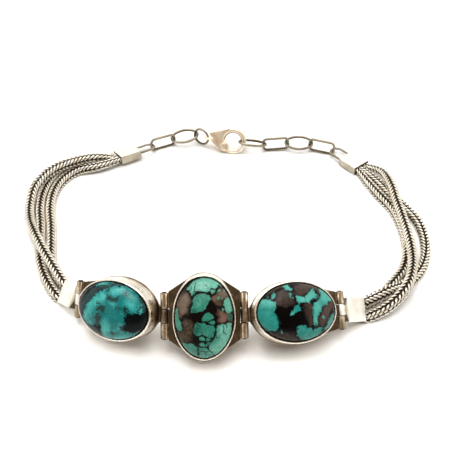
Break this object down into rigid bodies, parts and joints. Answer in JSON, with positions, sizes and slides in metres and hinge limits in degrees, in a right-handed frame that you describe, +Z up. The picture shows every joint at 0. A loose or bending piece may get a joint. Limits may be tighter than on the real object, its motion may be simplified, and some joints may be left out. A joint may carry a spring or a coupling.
{
  "type": "chain bracelet",
  "caption": "Silver bracelet of oval turquoise settings joined by hinges, foxtail strands at the sides and a link chain with a lobster clasp, lying fastened.",
  "frame": {"origin": "middle of the bracelet's outline, on the table it lies on", "axes": "+X along the row of stones to the right as seen from the front, +Y from the stones to the clasp, +Z up from the table"},
  "size_m": [0.082, 0.0688, 0.0146],
  "materials": {
    "turquoise_left": "polished",
    "turquoise_centre": "polished",
    "turquoise_right": "polished",
    "setting_silver": "polished silver, dark in the corners",
    "pin_silver": "polished silver",
    "cap_silver": "bright polished silver",
    "foxtail_silver": "polished silver wire, dark between the wires",
    "link_silver": "polished silver",
    "clasp_silver": "polished silver"
  },
  "bodies": {
    "bracelet": {"setting_left": "setting_silver", "setting_centre": "setting_silver", "setting_right": "setting_silver", "stone_left": "turquoise_left", "stone_centre": "turquoise_centre", "stone_right": "turquoise_right", "pin_outer_left": "pin_silver", "pin_inner_left": "pin_silver", "pin_inner_right": "pin_silver", "pin_outer_right": "pin_silver", "cap_front_left": "cap_silver", "cap_front_right": "cap_silver", "cap_rear_left": "cap_silver", "cap_rear_right": "cap_silver", "strand_left_top": "foxtail_silver", "strand_left_low": "foxtail_silver", "strand_left_mid": "foxtail_silver", "strand_right_top": "foxtail_silver", "strand_right_low": "foxtail_silver", "strand_right_mid": "foxtail_silver", "link_1": "link_silver", "link_2": "link_silver", "link_3": "link_silver", "link_4": "link_silver", "link_5": "link_silver", "link_6": "link_silver", "jump_ring": "link_silver", "clasp_body": "clasp_silver", "clasp_pin": "clasp_silver"},
    "lever": {"clasp_lever": "clasp_silver"}
  },
  "joints": [
    {"name": "clasp_lever_turn", "type": "hinge", "parent": "bracelet", "child": "lever", "pos_m": [0.00039, 0.02986, 0.00154], "axis": [-0.1329, -0.8663, 0.4816], "range_deg": [0, 14], "stiffness_Nm_per_rad": 0.0004}
  ]
}
